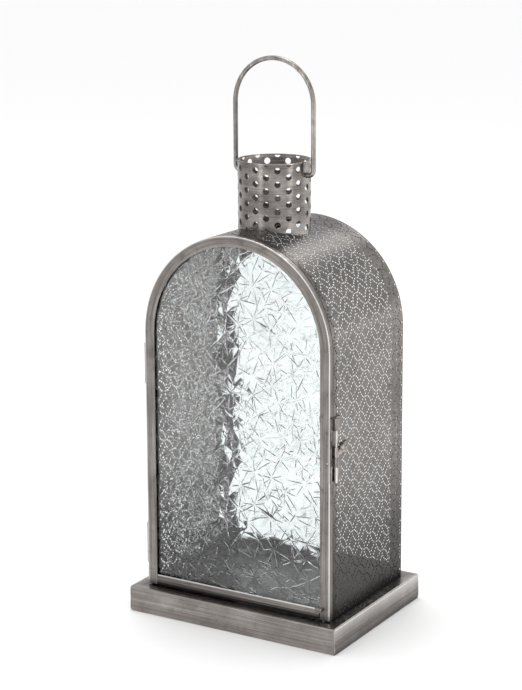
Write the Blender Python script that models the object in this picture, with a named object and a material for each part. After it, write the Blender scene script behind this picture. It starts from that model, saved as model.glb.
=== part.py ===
"""Arched candle lantern: a sheet-metal plinth, a bent arched body with a glazed back,
a hinged glazed door with a hook latch, a perforated chimney and a wire bail.

Frame: +Z up, origin on the floor under the middle of the plinth, door facing -Y.
Run with: blender --background --python part.py
"""

import math

import bmesh
import bpy
from mathutils import Matrix, Vector

MM = 0.001
GAP = 0.3 * MM  # between pieces that touch
SMOOTH_ANGLE = 35  # degrees: sharper edges stay crisp
SMALL_SIDES = 12  # facets round a rivet or a hinge knuckle
LATCH_SIDES = 16

# Body: a sheet bent over in one arch, open at the front and the back
BODY_WIDTH = 177 * MM
BODY_DEPTH = 126 * MM  # door face to rear frame face
WALL_HEIGHT = 221.5 * MM  # plinth top to where the arch begins
BODY_SHEET = 1.0 * MM
BODY_FOOT = 13 * MM  # flange turned in under each side wall
ARCH_STEPS = 32
ROOF_HOLE_SIDES = 32

# Plinth: an inverted tray with its lower edge turned in
PLINTH_OVERHANG = 11.5 * MM
PLINTH_HEIGHT = 22 * MM
PLINTH_SHEET = 1.2 * MM
PLINTH_RETURN = 8 * MM
PLINTH_ROUND = 1.5 * MM

# Frames and glass
FRAME_SHEET = 1.0 * MM
FRAME_FACE = 9 * MM
GLASS_THICKNESS = 3 * MM
CLIP_SHEET = 0.8 * MM
CLIP_HEIGHT = 6 * MM
CLIP_FOOT = 3.5 * MM
CLIP_SHOW = 2.5 * MM  # how far a clip reaches past the frame's face
CLIP_BELOW_SPRING = 53.5 * MM
CLIP_ABOVE_FLOOR = 48 * MM
RAIL_HEIGHT = 9 * MM
RAIL_BULGE = 0.7 * MM
RAIL_LIP = 4.5 * MM  # wall behind the glass
JAMB_FACE = 7.5 * MM
JAMB_DEPTH = 8 * MM
DOOR_SEAM = 0.5 * MM  # between the door and the body
DOOR_LIFT = 1.0 * MM  # between the door and the plinth

# Hinges
HINGE_HEIGHT = 35 * MM
HINGE_BELOW_SPRING = 27.7 * MM
HINGE_ABOVE_FLOOR = 37.2 * MM
HINGE_SHEET = 0.7 * MM
KNUCKLE_RADIUS = 1.6 * MM
HINGE_PIN_RADIUS = 0.7 * MM
PIN_CLEARANCE = 0.3 * MM
BODY_LEAF_WIDTH = 12 * MM
LEAF_INSET = 0.5 * MM

# Latch
LATCH_HEIGHT = 54 * MM
LATCH_BELOW_SPRING = 51 * MM  # spring line down to the top of the bracket
LATCH_SHEET = 0.8 * MM
LATCH_WIDTH = 16.7 * MM
LATCH_STRIP = 1.8 * MM
LATCH_TOP_PLATE = 10.5 * MM
LATCH_WINDOW = 22 * MM
LATCH_LOW_PLATE = 8.5 * MM
LATCH_SLOT = 10.5 * MM
LATCH_SLOT_WIDTH = 4.0 * MM
BAND_RADIUS = 2.2 * MM
LATCH_PIN_RADIUS = 1.1 * MM
LATCH_PIN_FROM_FACE = 6.4 * MM
SLEEVE_HEIGHT = 8 * MM
ARM_HEIGHT = 4 * MM
ARM_LENGTH = 13.5 * MM  # pin axis to the inside of the hook
ARM_SHEET = 1.2 * MM
HOOK_BITE = 1.6 * MM
KNOB_RADIUS = 2.7 * MM
KNOB_OUT = 4.4 * MM
KNOB_BACK = 2.6 * MM
KNOB_RISE = 8.5 * MM
KNOB_RINGS = 8
KNOB_SIDES = 14
STALK_SIDES = 10
CATCH_LENGTH = 8 * MM
CATCH_HEIGHT = 9 * MM

# Chimney
CHIMNEY_DIAMETER = 62 * MM
CHIMNEY_RISE = 55 * MM  # crown of the roof to the rim
CHIMNEY_SHEET = 1.0 * MM
CHIMNEY_LAP = 4 * MM  # how much wider the chimney is than the hole under it
HOLE_COLUMNS = 20
HOLE_PITCH = 11.2 * MM
HOLE_DIAMETER = 5.4 * MM
HOLE_SIDES = 8
BAIL_DROP = 11.5 * MM  # rim to the holes that carry the bail

# Bail
WIRE_DIAMETER = 4 * MM
BAIL_CLEARANCE = 4.3 * MM  # chimney wall to wire
BAIL_LEG = 57.5 * MM  # bail axis to the centre of the bow
BAIL_BEND = 4.5 * MM
BAIL_END = 3.5 * MM  # wire showing inside the chimney wall
WIRE_SIDES = 10
BOW_STEPS = 24
ELBOW_STEPS = 4

# Rivets
RIVET_SHANK = 3 * MM
RIVET_HEAD = 5 * MM
RIVET_HEAD_HEIGHT = 1.2 * MM
RIVET_TOP_SHARE = 0.7  # the head's flat top, as a share of its width
RIVET_EDGE_SHARE = 0.4  # the head's upright edge, as a share of its height
RIVET_FROM_WALL = 8 * MM
RIVET_FROM_END = 18 * MM  # the body's front or rear to a rivet

# What the driving sizes give
HALF_WIDTH = BODY_WIDTH / 2
FRONT_Y = -BODY_DEPTH / 2
BACK_Y = BODY_DEPTH / 2
REAR_FACE_Y = BACK_Y - RAIL_BULGE
SPRING_Z = PLINTH_HEIGHT + WALL_HEIGHT
CROWN_Z = SPRING_Z + HALF_WIDTH
BODY_FLOOR_Z = PLINTH_HEIGHT + GAP
DOOR_FLOOR_Z = PLINTH_HEIGHT + DOOR_LIFT
FRAME_DEPTH = FRAME_SHEET + GAP + GLASS_THICKNESS + GAP + CLIP_SHEET
DOOR_BACK_Y = FRONT_Y + FRAME_DEPTH
SHELL_FRONT_Y = DOOR_BACK_Y + DOOR_SEAM
REAR_HALF_WIDTH = HALF_WIDTH - BODY_SHEET - GAP
REAR_FACE = FRAME_FACE - BODY_SHEET - GAP
REAR_BACK_Y = REAR_FACE_Y - FRAME_DEPTH
REAR_FLOOR_Z = BODY_FLOOR_Z + BODY_SHEET + GAP
HINGE_X = -(HALF_WIDTH + GAP + KNUCKLE_RADIUS)
HINGE_Y = DOOR_BACK_Y + DOOR_SEAM / 2
HINGE_HEIGHTS = {
    "lower": PLINTH_HEIGHT + HINGE_ABOVE_FLOOR,
    "upper": SPRING_Z - HINGE_BELOW_SPRING,
}
CLIP_HEIGHTS = {
    "low": PLINTH_HEIGHT + CLIP_ABOVE_FLOOR,
    "high": SPRING_Z - CLIP_BELOW_SPRING,
}
LATCH_X = HALF_WIDTH + GAP + BAND_RADIUS
LATCH_Y = FRONT_Y + LATCH_PIN_FROM_FACE
LATCH_TOP_Z = SPRING_Z - LATCH_BELOW_SPRING
CHIMNEY_RADIUS = CHIMNEY_DIAMETER / 2
RIM_Z = CROWN_Z + CHIMNEY_RISE
BAIL_Z = RIM_Z - BAIL_DROP
RIVET_Y = BACK_Y - RIVET_FROM_END
WIRE_RADIUS = WIRE_DIAMETER / 2
BAIL_HALF_SPAN = CHIMNEY_RADIUS + BAIL_CLEARANCE + WIRE_RADIUS


# ---- general helpers -------------------------------------------------------


def clear_scene():
    for old in list(bpy.data.objects):
        bpy.data.objects.remove(old, do_unlink=True)


def finish_material(name, colour, roughness, metallic, transmission=0.0):
    material = bpy.data.materials.new(name)
    material.use_nodes = True
    shader = material.node_tree.nodes["Principled BSDF"]
    shader.inputs["Base Color"].default_value = (*colour, 1.0)
    shader.inputs["Roughness"].default_value = roughness
    shader.inputs["Metallic"].default_value = metallic
    shader.inputs["Transmission Weight"].default_value = transmission
    return material


def pewter(name):
    return finish_material(name, (0.19, 0.175, 0.165), 0.38, 0.9)


def clear_glass(name):
    return finish_material(name, (0.86, 0.9, 0.9), 0.08, 0.0, 0.85)


def add_object(name, mesh, finish=None, smooth_angle=None):
    """Links an object with this mesh, and gives it a material of its own."""
    made = bpy.data.objects.new(name, mesh)
    bpy.context.collection.objects.link(made)
    if finish is not None and not mesh.materials:
        mesh.materials.append(finish(name + "_finish"))
    if smooth_angle is not None:
        mesh.shade_smooth()
        mesh.set_sharp_from_angle(angle=math.radians(smooth_angle))
    return made


def loft(name, rings, origin=(0, 0, 0)):
    """A closed mesh through rings of points, each ring a closed outline, capped at both ends."""
    bm = bmesh.new()
    origin = Vector(origin)
    rows = [[bm.verts.new(Vector(point) - origin) for point in ring] for ring in rings]
    count = len(rows[0])
    for low, high in zip(rows, rows[1:]):
        for i in range(count):
            j = (i + 1) % count
            bm.faces.new((low[i], low[j], high[j], high[i]))
    bm.faces.new(list(reversed(rows[0])))
    bm.faces.new(rows[-1])
    bmesh.ops.recalc_face_normals(bm, faces=bm.faces)
    mesh = bpy.data.meshes.new(name)
    bm.to_mesh(mesh)
    bm.free()
    return mesh


def box_rings(low, high):
    """Two rings for loft: a box from its lowest to its highest corner."""
    (x0, y0, z0), (x1, y1, z1) = low, high
    return [[(x0, y0, z), (x1, y0, z), (x1, y1, z), (x0, y1, z)] for z in (z0, z1)]


def circle(radius, sides, centre=(0, 0), turn=0.0):
    steps = [turn + 2 * math.pi * i / sides for i in range(sides)]
    return [(centre[0] + radius * math.cos(a), centre[1] + radius * math.sin(a)) for a in steps]


def rod_rings(radius, sides, low, high, centre=(0, 0)):
    return [[(x, y, z) for x, y in circle(radius, sides, centre)] for z in (low, high)]


def tool(name, rings, turn=None):
    """A guide shape for a Boolean, never part of the lantern itself."""
    made = add_object(name, loft(name, rings))
    if turn is not None:
        made.matrix_world = turn
    made.hide_render = True
    made.display_type = "WIRE"
    return made


def combine(target, other, operation):
    step = target.modifiers.new(operation.lower() + "_" + other.name, "BOOLEAN")
    step.operation = operation
    step.object = other


def cut(target, other):
    combine(target, other, "DIFFERENCE")


def join(target, other):
    combine(target, other, "UNION")


def pivot(name, location, parent=None):
    made = bpy.data.objects.new(name, None)
    bpy.context.collection.objects.link(made)
    made.location = location
    made.parent = parent
    return made


def hang(made, parent, parent_at, at):
    """Puts an object at a place given in the lantern's frame, under a parent at parent_at."""
    made.parent = parent
    made.location = Vector(at) - Vector(parent_at)


# ---- outlines --------------------------------------------------------------


def arch_stations(half_width, bottom, inset):
    """Points (x, z) up the left leg, over the arch and down the right, set in from the outline."""
    reach = half_width - inset
    points = [(-reach, bottom)]
    for i in range(ARCH_STEPS + 1):
        angle = math.pi * (1 - i / ARCH_STEPS)
        points.append((reach * math.cos(angle), SPRING_Z + reach * math.sin(angle)))
    points.append((reach, bottom))
    return points


def arch_rings(half_width, bottom, profile):
    """Rings for loft: a profile of (inset, y) points carried along the arch."""
    columns = [[(x, y, z) for x, z in arch_stations(half_width, bottom, inset)] for inset, y in profile]
    return [list(ring) for ring in zip(*columns)]


def angle_profile(face_y, back_y, face_width):
    """An L: a face of this width and a flange at its outer edge running back to back_y."""
    inside_y = face_y + math.copysign(FRAME_SHEET, back_y - face_y)
    return [
        (0, face_y),
        (0, back_y),
        (FRAME_SHEET, back_y),
        (FRAME_SHEET, inside_y),
        (face_width, inside_y),
        (face_width, face_y),
    ]


def glass_half_width(frame_half_width):
    return frame_half_width - FRAME_SHEET - GAP - CLIP_SHEET - GAP


# ---- plinth and body -------------------------------------------------------


def make_plinth():
    half_x = HALF_WIDTH + PLINTH_OVERHANG
    half_y = BODY_DEPTH / 2 + PLINTH_OVERHANG
    mesh = loft("base_plinth", box_rings((-half_x, -half_y, 0), (half_x, half_y, PLINTH_HEIGHT)))
    bm = bmesh.new()
    bm.from_mesh(mesh)
    low_edges = [e for e in bm.edges if all(v.co.z < PLINTH_HEIGHT / 2 for v in e.verts)]
    upper_edges = [e for e in bm.edges if e not in low_edges]
    bmesh.ops.bevel(
        bm, geom=upper_edges, offset=PLINTH_ROUND, segments=2, profile=0.5, affect="EDGES"
    )
    bm.to_mesh(mesh)
    bm.free()
    plinth = add_object("base_plinth", mesh, pewter, SMOOTH_ANGLE)
    inner_x = half_x - PLINTH_SHEET
    inner_y = half_y - PLINTH_SHEET
    hollow = ((-inner_x, -inner_y, PLINTH_SHEET), (inner_x, inner_y, PLINTH_HEIGHT - PLINTH_SHEET))
    cut(plinth, tool("plinth_hollow", box_rings(*hollow)))
    mouth_x = half_x - PLINTH_RETURN
    mouth_y = half_y - PLINTH_RETURN
    mouth = ((-mouth_x, -mouth_y, -PLINTH_SHEET), (mouth_x, mouth_y, PLINTH_HEIGHT / 2))
    cut(plinth, tool("plinth_mouth", box_rings(*mouth)))
    return plinth


def make_shell():
    """The bent sheet: a foot, a wall, the arch, a wall and a foot, all one strip."""
    floor_z = BODY_FLOOR_Z
    foot_z = floor_z + BODY_SHEET
    outer = arch_stations(HALF_WIDTH, floor_z, 0)
    inner = arch_stations(HALF_WIDTH, foot_z, BODY_SHEET)
    toe = HALF_WIDTH - BODY_FOOT
    outer = [(-toe, floor_z), *outer, (toe, floor_z)]
    inner = [(-toe, foot_z), *inner, (toe, foot_z)]
    rings = []
    for (ox, oz), (ix, iz) in zip(outer, inner):
        rings.append(
            [(ox, SHELL_FRONT_Y, oz), (ox, BACK_Y, oz), (ix, BACK_Y, iz), (ix, SHELL_FRONT_Y, iz)]
        )
    shell = add_object("body_shell", loft("body_shell", rings), pewter, SMOOTH_ANGLE)
    hole = CHIMNEY_RADIUS - CHIMNEY_LAP
    cut(shell, tool("roof_hole", rod_rings(hole, ROOF_HOLE_SIDES, SPRING_Z, RIM_Z)))
    return shell


def make_rivets(plinth, shell):
    """Turned rivets through the body's feet and the plinth's top."""
    foot_top = BODY_FLOOR_Z + BODY_SHEET
    levels = [
        (RIVET_HEAD / 2 * RIVET_TOP_SHARE, foot_top + GAP + RIVET_HEAD_HEIGHT),
        (RIVET_HEAD / 2, foot_top + GAP + RIVET_HEAD_HEIGHT * RIVET_EDGE_SHARE),
        (RIVET_HEAD / 2, foot_top + GAP),
        (RIVET_SHANK / 2, foot_top + GAP),
        (RIVET_SHANK / 2, PLINTH_HEIGHT - PLINTH_SHEET - GAP),
        (RIVET_HEAD / 2, PLINTH_HEIGHT - PLINTH_SHEET - GAP),
        (RIVET_HEAD / 2, PLINTH_HEIGHT - PLINTH_SHEET - GAP - RIVET_HEAD_HEIGHT),
    ]
    rings = [[(x, y, z) for x, y in circle(radius, SMALL_SIDES)] for radius, z in levels]
    mesh = loft("rivet", rings, origin=(0, 0, foot_top))
    bore_radius = RIVET_SHANK / 2 + GAP
    bore = rod_rings(bore_radius, SMALL_SIDES, PLINTH_HEIGHT / 2, foot_top + PLINTH_HEIGHT / 2)
    for x_side, side in ((-1, "left"), (1, "right")):
        for y_side, end in ((-1, "front"), (1, "rear")):
            at = Vector((x_side * (HALF_WIDTH - RIVET_FROM_WALL), y_side * RIVET_Y, 0))
            name = f"base_rivet_{side}_{end}"
            rivet = add_object(name, mesh.copy(), pewter, SMOOTH_ANGLE)
            rivet.location = at + Vector((0, 0, foot_top))
            drill = tool(name + "_bore", bore, Matrix.Translation(at))
            cut(plinth, drill)
            cut(shell, drill)


# ---- frames, rails, glass and clips ----------------------------------------


def make_frames(door_pivot, door_at):
    jamb_front = SHELL_FRONT_Y + GAP
    jamb = angle_profile(jamb_front, jamb_front + JAMB_DEPTH, JAMB_FACE)
    add_object(
        "door_jamb",
        loft("door_jamb", arch_rings(REAR_HALF_WIDTH, REAR_FLOOR_Z, jamb)),
        pewter,
        SMOOTH_ANGLE,
    )
    rear = angle_profile(REAR_FACE_Y, REAR_BACK_Y, REAR_FACE)
    add_object(
        "rear_frame",
        loft("rear_frame", arch_rings(REAR_HALF_WIDTH, REAR_FLOOR_Z, rear)),
        pewter,
        SMOOTH_ANGLE,
    )
    front = angle_profile(FRONT_Y, DOOR_BACK_Y, FRAME_FACE)
    rings = arch_rings(HALF_WIDTH, DOOR_FLOOR_Z, front)
    door_frame = add_object("door_frame", loft("door_frame", rings, door_at), pewter, SMOOTH_ANGLE)
    hang(door_frame, door_pivot, door_at, door_at)


def rail_profile(face_y, back_y, floor_z):
    """A trough that holds the foot of the glass: a pillowed front wall, a floor and a low back."""
    inward = math.copysign(1.0, back_y - face_y)
    sheet = FRAME_SHEET
    hem_y = face_y + inward * sheet / 2
    top_z = floor_z + RAIL_HEIGHT
    front = [(face_y, top_z)]
    for share in (0.25, 0.5, 0.75):
        bulge = RAIL_BULGE * math.sin(math.pi * share)
        front.append((face_y - inward * bulge, top_z - share * RAIL_HEIGHT))
    front.append((hem_y, floor_z))
    lip = [
        (back_y, floor_z),
        (back_y, floor_z + RAIL_LIP),
        (back_y - inward * CLIP_SHEET, floor_z + RAIL_LIP),
        (back_y - inward * CLIP_SHEET, floor_z + sheet),
        (face_y + inward * sheet, floor_z + sheet),
    ]
    inside = [(face_y + inward * sheet, top_z)]
    return front + lip + inside


def make_rail(name, half_length, profile, origin=(0, 0, 0)):
    rings = [[(x, y, z) for y, z in profile] for x in (-half_length, half_length)]
    return add_object(name, loft(name, rings, origin), pewter, SMOOTH_ANGLE)


def make_rails(door_pivot, door_at):
    door_profile = rail_profile(FRONT_Y, DOOR_BACK_Y, DOOR_FLOOR_Z)
    door_rail = make_rail("door_bottom_rail", HALF_WIDTH - FRAME_FACE - GAP, door_profile, door_at)
    hang(door_rail, door_pivot, door_at, door_at)
    rear_profile = rail_profile(REAR_FACE_Y, REAR_BACK_Y, REAR_FLOOR_Z)
    make_rail("rear_bottom_rail", REAR_HALF_WIDTH - REAR_FACE - GAP, rear_profile)


def make_glass(name, frame_half_width, face_y, inward, floor_z, origin=(0, 0, 0)):
    near = face_y + inward * (FRAME_SHEET + GAP)
    far = near + inward * GLASS_THICKNESS
    half = glass_half_width(frame_half_width)
    foot = floor_z + FRAME_SHEET + GAP
    outline = arch_stations(half, foot, 0)
    rings = [[(x, y, z) for x, z in outline] for y in (near, far)]
    return add_object(name, loft(name, rings, origin), clear_glass, SMOOTH_ANGLE)


def make_panes(door_pivot, door_at):
    door_glass = make_glass("door_glass", HALF_WIDTH, FRONT_Y, 1, DOOR_FLOOR_Z, door_at)
    hang(door_glass, door_pivot, door_at, door_at)
    make_glass("rear_glass", REAR_HALF_WIDTH, REAR_FACE_Y, -1, REAR_FLOOR_Z)


def clip_mesh(face_width):
    """An L of strip: a foot against the frame's flange and a tab over the glass."""
    reach = face_width - FRAME_SHEET + CLIP_SHOW
    outline = [
        (GAP, -CLIP_FOOT),
        (GAP + CLIP_SHEET, -CLIP_FOOT),
        (GAP + CLIP_SHEET, -CLIP_SHEET),
        (reach, -CLIP_SHEET),
        (reach, 0),
        (GAP, 0),
    ]
    rings = [[(x, y, z) for x, y in outline] for z in (-CLIP_HEIGHT / 2, CLIP_HEIGHT / 2)]
    return loft("clip", rings)


def make_clips(door_pivot, door_at):
    """Four on each pane. One shape, turned to suit its side and its pane."""
    door_clip = clip_mesh(FRAME_FACE)
    rear_clip = clip_mesh(REAR_FACE)
    door_x = HALF_WIDTH - FRAME_SHEET
    rear_x = REAR_HALF_WIDTH - FRAME_SHEET
    for level, height in CLIP_HEIGHTS.items():
        for side, way in (("left", -1), ("right", 1)):
            name = f"door_glass_clip_{side}_{level}"
            clip = add_object(name, door_clip.copy(), pewter)
            clip.rotation_euler = (0, math.pi if way > 0 else 0, 0)
            hang(clip, door_pivot, door_at, (way * door_x, DOOR_BACK_Y, height))
            name = f"rear_glass_clip_{side}_{level}"
            clip = add_object(name, rear_clip.copy(), pewter)
            clip.rotation_euler = (0, 0, math.pi) if way > 0 else (math.pi, 0, 0)
            clip.location = (way * rear_x, REAR_BACK_Y, height)


# ---- hinges ----------------------------------------------------------------


def knuckle_spans():
    """Lowest and highest z of the three knuckles, about the middle of the hinge."""
    length = (HINGE_HEIGHT - 2 * GAP) / 3
    low = -HINGE_HEIGHT / 2
    return [(low + i * (length + GAP), low + i * (length + GAP) + length) for i in range(3)]


def hinge_leaf(name, plate_y, spans, neck_end):
    """A plate along Y with the knuckles in these spans. Its origin is on the hinge axis."""
    outer = KNUCKLE_RADIUS - HINGE_SHEET
    half = HINGE_HEIGHT / 2
    near, far = sorted(plate_y)
    plate = box_rings((outer, near, -half), (KNUCKLE_RADIUS, far, half))
    leaf = loft(name, plate)
    made = add_object(name, leaf, pewter, SMOOTH_ANGLE)
    for i, (low, high) in enumerate(spans):
        neck_y = sorted((0, neck_end))
        neck = box_rings((outer, neck_y[0], low), (KNUCKLE_RADIUS, neck_y[1], high))
        join(made, tool(f"{name}_neck_{i}", neck))
        join(made, tool(f"{name}_knuckle_{i}", rod_rings(KNUCKLE_RADIUS, SMALL_SIDES, low, high)))
    bore_radius = HINGE_PIN_RADIUS + PIN_CLEARANCE
    bore = rod_rings(bore_radius, SMALL_SIDES, -HINGE_HEIGHT, HINGE_HEIGHT)
    cut(made, tool(name + "_bore", bore))
    return made


def settle(made):
    """Turns an object's modifiers into mesh, so that its guides can be dropped and it can be copied."""
    bpy.context.view_layer.update()
    graph = bpy.context.evaluated_depsgraph_get()
    mesh = bpy.data.meshes.new_from_object(made.evaluated_get(graph))
    mesh.name = made.name
    guides = [step.object for step in made.modifiers]
    made.modifiers.clear()
    made.data = mesh
    for guide in guides:
        bpy.data.objects.remove(guide, do_unlink=True)
    return made


def make_hinges(door_pivot, door_at):
    edge = KNUCKLE_RADIUS + GAP
    low, middle, high = knuckle_spans()
    body_leaf = settle(
        hinge_leaf("hinge_body_leaf_lower", (edge, BODY_LEAF_WIDTH), (low, high), edge + GAP)
    )
    door_plate = (-edge, -(FRAME_DEPTH + DOOR_SEAM / 2 - LEAF_INSET))
    door_leaf = settle(hinge_leaf("hinge_door_leaf_lower", door_plate, (middle,), -edge - GAP))
    pin_half = HINGE_HEIGHT / 2 + GAP
    pin_rings = rod_rings(HINGE_PIN_RADIUS, SMALL_SIDES, -pin_half, pin_half)
    pin_mesh = loft("hinge_pin", pin_rings)
    for level, height in HINGE_HEIGHTS.items():
        at = (HINGE_X, HINGE_Y, height)
        fixed = body_leaf
        moving = door_leaf
        if level != "lower":
            fixed = add_object("hinge_body_leaf_" + level, body_leaf.data.copy())
            moving = add_object("hinge_door_leaf_" + level, door_leaf.data.copy())
        fixed.location = at
        hang(moving, door_pivot, door_at, at)
        pin = add_object("hinge_pin_" + level, pin_mesh.copy(), pewter, SMOOTH_ANGLE)
        pin.location = at


# ---- latch -----------------------------------------------------------------


def latch_levels():
    """Heights of the bracket's edges, from its top down."""
    top_plate = LATCH_TOP_Z - LATCH_TOP_PLATE
    window = top_plate - LATCH_WINDOW
    low_plate = window - LATCH_LOW_PLATE
    slot = low_plate - LATCH_SLOT
    return top_plate, window, low_plate, slot


def make_latch_bracket():
    """A plate on the door's edge: two bands carry the pin, with a window between them."""
    top_plate, window, low_plate, slot = latch_levels()
    bottom = LATCH_TOP_Z - LATCH_HEIGHT
    inner_x = HALF_WIDTH + GAP
    outer_x = inner_x + LATCH_SHEET
    front = FRONT_Y + GAP
    back = front + LATCH_WIDTH
    plate = add_object(
        "latch_bracket",
        loft("latch_bracket", box_rings((inner_x, front, bottom), (outer_x, back, LATCH_TOP_Z))),
        pewter,
        SMOOTH_ANGLE,
    )
    beyond = LATCH_SHEET
    strip = front + LATCH_STRIP
    openings = {
        "window": ((strip, window), (back + beyond, top_plate)),
        "slot": ((strip, slot), (strip + LATCH_SLOT_WIDTH, low_plate)),
    }
    for name, ((y0, z0), (y1, z1)) in openings.items():
        corners = ((inner_x - beyond, y0, z0), (outer_x + beyond, y1, z1))
        cut(plate, tool("latch_" + name, box_rings(*corners)))
    for name, low, high in (
        ("top", top_plate + GAP, LATCH_TOP_Z - GAP),
        ("low", low_plate + GAP, window - GAP),
    ):
        band = rod_rings(BAND_RADIUS, LATCH_SIDES, low, high, (LATCH_X, LATCH_Y))
        join(plate, tool("latch_band_" + name, band))
    bore_radius = LATCH_PIN_RADIUS + PIN_CLEARANCE
    bore_top = LATCH_TOP_Z + GAP
    bore = rod_rings(bore_radius, LATCH_SIDES, bottom, bore_top, (LATCH_X, LATCH_Y))
    cut(plate, tool("latch_bore", bore))
    return settle(plate)


def make_latch_lever():
    """A sleeve on the pin, an arm back to the hook and a stalk out to the knob."""
    _, window, _, _ = latch_levels()
    low = window + GAP
    sleeve = add_object(
        "latch_lever",
        loft("latch_lever", rod_rings(BAND_RADIUS, LATCH_SIDES, low, low + SLEEVE_HEIGHT)),
        pewter,
        SMOOTH_ANGLE,
    )
    arm_x = BAND_RADIUS - ARM_SHEET
    arm_low = low + (SLEEVE_HEIGHT - ARM_HEIGHT) / 2
    arm_end = ARM_LENGTH + ARM_SHEET
    arm = box_rings((arm_x, 0, arm_low), (BAND_RADIUS, arm_end, arm_low + ARM_HEIGHT))
    join(sleeve, tool("latch_arm", arm))
    tip_x = -BAND_RADIUS + LATCH_SHEET + HOOK_BITE - ARM_SHEET
    hook = box_rings((tip_x, ARM_LENGTH, arm_low), (BAND_RADIUS, arm_end, arm_low + ARM_HEIGHT))
    join(sleeve, tool("latch_hook", hook))
    knob_at = Vector((KNOB_OUT, KNOB_BACK, low + KNOB_RISE))
    foot_at = Vector((BAND_RADIUS / 2, 0, low + SLEEVE_HEIGHT / 2))
    along = knob_at - foot_at
    turn = along.to_track_quat("Z", "Y").to_matrix().to_4x4()
    stalk = rod_rings(ARM_SHEET, STALK_SIDES, 0, along.length)
    join(sleeve, tool("latch_stalk", stalk, Matrix.Translation(foot_at) @ turn))
    ball = []
    for i in range(KNOB_RINGS):
        angle = math.pi * (i + 0.5) / KNOB_RINGS
        around = circle(KNOB_RADIUS * math.sin(angle), KNOB_SIDES)
        ball.append([(x, y, -KNOB_RADIUS * math.cos(angle)) for x, y in around])
    join(sleeve, tool("latch_knob", ball, Matrix.Translation(knob_at)))
    bore_radius = LATCH_PIN_RADIUS + PIN_CLEARANCE
    bore = rod_rings(bore_radius, LATCH_SIDES, low - GAP, low + SLEEVE_HEIGHT + GAP)
    cut(sleeve, tool("lever_bore", bore))
    return settle(sleeve)


def make_latch_catch():
    """A plate on the body's side with a lip that the hook sits behind."""
    _, window, _, _ = latch_levels()
    middle = window + GAP + SLEEVE_HEIGHT / 2
    inner_x = HALF_WIDTH + GAP
    lip_back = LATCH_Y + ARM_LENGTH - GAP
    lip_front = lip_back - LATCH_SHEET
    outline = [
        (inner_x, lip_front),
        (inner_x + LATCH_SHEET + HOOK_BITE, lip_front),
        (inner_x + LATCH_SHEET + HOOK_BITE, lip_back),
        (inner_x + LATCH_SHEET, lip_back),
        (inner_x + LATCH_SHEET, lip_back + CATCH_LENGTH),
        (inner_x, lip_back + CATCH_LENGTH),
    ]
    half = CATCH_HEIGHT / 2
    rings = [[(x, y, z) for x, y in outline] for z in (middle - half, middle + half)]
    add_object("latch_catch", loft("latch_catch", rings), pewter)


def make_latch(door_pivot, door_at):
    bracket = make_latch_bracket()
    bracket.data.transform(Matrix.Translation(-Vector(door_at)))
    hang(bracket, door_pivot, door_at, door_at)
    pin_at = (LATCH_X, LATCH_Y, 0)
    pin_low = LATCH_TOP_Z - LATCH_HEIGHT + GAP
    pin_rings = rod_rings(LATCH_PIN_RADIUS, LATCH_SIDES, pin_low, LATCH_TOP_Z)
    pin = add_object("latch_pin", loft("latch_pin", pin_rings), pewter, SMOOTH_ANGLE)
    hang(pin, door_pivot, door_at, pin_at)
    lever = make_latch_lever()
    hang(lever, door_pivot, door_at, pin_at)
    make_latch_catch()


# ---- chimney and bail ------------------------------------------------------


def hole_centres():
    """(column, z) of every punched hole. Odd columns sit half a pitch off the even ones."""
    lowest = CROWN_Z - HALF_WIDTH + math.sqrt(HALF_WIDTH**2 - CHIMNEY_RADIUS**2)
    centres = []
    for column in range(HOLE_COLUMNS):
        z = BAIL_Z + HOLE_PITCH
        if column % 2:
            z -= HOLE_PITCH / 2
        while z > lowest - HOLE_DIAMETER / 2:
            centres.append((column, z))
            z -= HOLE_PITCH
    return centres


def punch_tool():
    """Every hole's punch in one guide, each a short prism across the chimney's wall."""
    bm = bmesh.new()
    outer = CHIMNEY_RADIUS + CHIMNEY_SHEET
    inner = CHIMNEY_RADIUS - 2 * CHIMNEY_SHEET
    outline = circle(HOLE_DIAMETER / 2, HOLE_SIDES, turn=math.pi / HOLE_SIDES)
    for column, z in hole_centres():
        turn = Matrix.Rotation(2 * math.pi * column / HOLE_COLUMNS, 4, "Z")
        rings = [
            [bm.verts.new(turn @ Vector((radius, across, z + up))) for across, up in outline]
            for radius in (inner, outer)
        ]
        for i in range(HOLE_SIDES):
            j = (i + 1) % HOLE_SIDES
            bm.faces.new((rings[0][i], rings[0][j], rings[1][j], rings[1][i]))
        bm.faces.new(list(reversed(rings[0])))
        bm.faces.new(rings[1])
    bmesh.ops.recalc_face_normals(bm, faces=bm.faces)
    mesh = bpy.data.meshes.new("chimney_punches")
    bm.to_mesh(mesh)
    bm.free()
    made = add_object("chimney_punches", mesh)
    made.hide_render = True
    made.display_type = "WIRE"
    return made


def make_chimney():
    sides = HOLE_COLUMNS * 2
    chimney = add_object(
        "chimney",
        loft("chimney", rod_rings(CHIMNEY_RADIUS, sides, SPRING_Z, RIM_Z)),
        pewter,
        25,
    )
    bore = rod_rings(
        CHIMNEY_RADIUS - CHIMNEY_SHEET, sides, SPRING_Z - CHIMNEY_SHEET, RIM_Z + CHIMNEY_SHEET
    )
    cut(chimney, tool("chimney_bore", bore))
    roof = arch_stations(HALF_WIDTH + GAP, SPRING_Z - HALF_WIDTH, 0)
    roof_rings = [[(x, y, z) for x, z in roof] for y in (FRONT_Y, BACK_Y)]
    cut(chimney, tool("chimney_foot", roof_rings))
    cut(chimney, punch_tool())
    return chimney


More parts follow.
